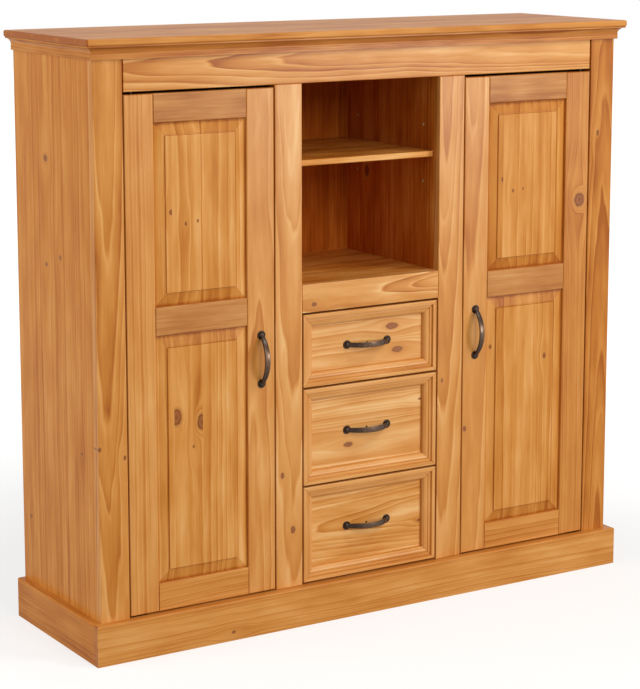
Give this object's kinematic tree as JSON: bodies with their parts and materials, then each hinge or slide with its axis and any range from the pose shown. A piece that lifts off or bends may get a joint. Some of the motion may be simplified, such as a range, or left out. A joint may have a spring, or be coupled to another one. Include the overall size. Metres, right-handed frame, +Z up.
{
  "type": "highboard",
  "caption": "Tall pine sideboard: framed raised-panel doors beside an open niche with a shelf, drawers with mitred mouldings below it, bow handles, cornice and plinth.",
  "frame": {"origin": "on the floor, in the middle of the outline that the highboard and its handles take up", "axes": "+Z up, +X to the right along the front seen from the front, the front faces -Y"},
  "size_m": [1.36, 0.408, 1.28],
  "materials": {
    "pine": "honey-stained solid pine with a satin lacquer",
    "raw_pine": "plain sanded pine",
    "plywood": "thin stained plywood",
    "beech": "waxed hardwood",
    "antique_bronze": "dark antique bronze, rubbed on the raised edges",
    "steel": "zinc-plated steel",
    "catch_plastic": "brown moulded plastic"
  },
  "bodies": {
    "carcass": {"top_panel": "pine", "cornice_front": "pine", "cornice_left": "pine", "cornice_right": "pine", "plinth_front": "pine", "plinth_left": "pine", "plinth_right": "pine", "side_panel_left": "pine", "side_panel_right": "pine", "partition_left": "pine", "partition_right": "pine", "bottom_panel": "pine", "back_panel": "plywood", "frame_stile_left": "pine", "frame_stile_right": "pine", "centre_stile_left": "pine", "centre_stile_right": "pine", "frame_top_rail": "pine", "frame_bottom_rail": "pine", "niche_rail": "pine", "niche_floor": "pine", "niche_shelf": "pine", "bay_shelves": "pine", "shelf_pins": "steel", "door_pivot_plates": "steel", "door_catches": "catch_plastic", "drawer_runners": "beech"},
    "door_left": {"door_left_hinge_stile": "pine", "door_left_lock_stile": "pine", "door_left_top_rail": "pine", "door_left_middle_rail": "pine", "door_left_bottom_rail": "pine", "door_left_upper_panel": "pine", "door_left_lower_panel": "pine", "door_left_handle": "antique_bronze", "door_left_fittings": "steel"},
    "door_right": {"door_right_hinge_stile": "pine", "door_right_lock_stile": "pine", "door_right_top_rail": "pine", "door_right_middle_rail": "pine", "door_right_bottom_rail": "pine", "door_right_upper_panel": "pine", "door_right_lower_panel": "pine", "door_right_handle": "antique_bronze", "door_right_fittings": "steel"},
    "drawer_top": {"drawer_top_front": "pine", "drawer_top_moulding": "pine", "drawer_top_box": "raw_pine", "drawer_top_base": "plywood", "drawer_top_handle": "antique_bronze"},
    "drawer_middle": {"drawer_middle_front": "pine", "drawer_middle_moulding": "pine", "drawer_middle_box": "raw_pine", "drawer_middle_base": "plywood", "drawer_middle_handle": "antique_bronze"},
    "drawer_bottom": {"drawer_bottom_front": "pine", "drawer_bottom_moulding": "pine", "drawer_bottom_box": "raw_pine", "drawer_bottom_base": "plywood", "drawer_bottom_handle": "antique_bronze"}
  },
  "joints": [
    {"name": "door_left_hinge", "type": "hinge", "parent": "carcass", "child": "door_left", "pos_m": [-0.57008, -0.165, 0.628], "axis": [0, 0, -1], "range_deg": [0, 110]},
    {"name": "door_right_hinge", "type": "hinge", "parent": "carcass", "child": "door_right", "pos_m": [0.57008, -0.165, 0.628], "axis": [0, 0, 1], "range_deg": [0, 110]},
    {"name": "drawer_top_slide", "type": "slide", "parent": "carcass", "child": "drawer_top", "axis": [0, -1, 0], "range_m": [0, 0.26]},
    {"name": "drawer_middle_slide", "type": "slide", "parent": "carcass", "child": "drawer_middle", "axis": [0, -1, 0], "range_m": [0, 0.26]},
    {"name": "drawer_bottom_slide", "type": "slide", "parent": "carcass", "child": "drawer_bottom", "axis": [0, -1, 0], "range_m": [0, 0.26]}
  ]
}
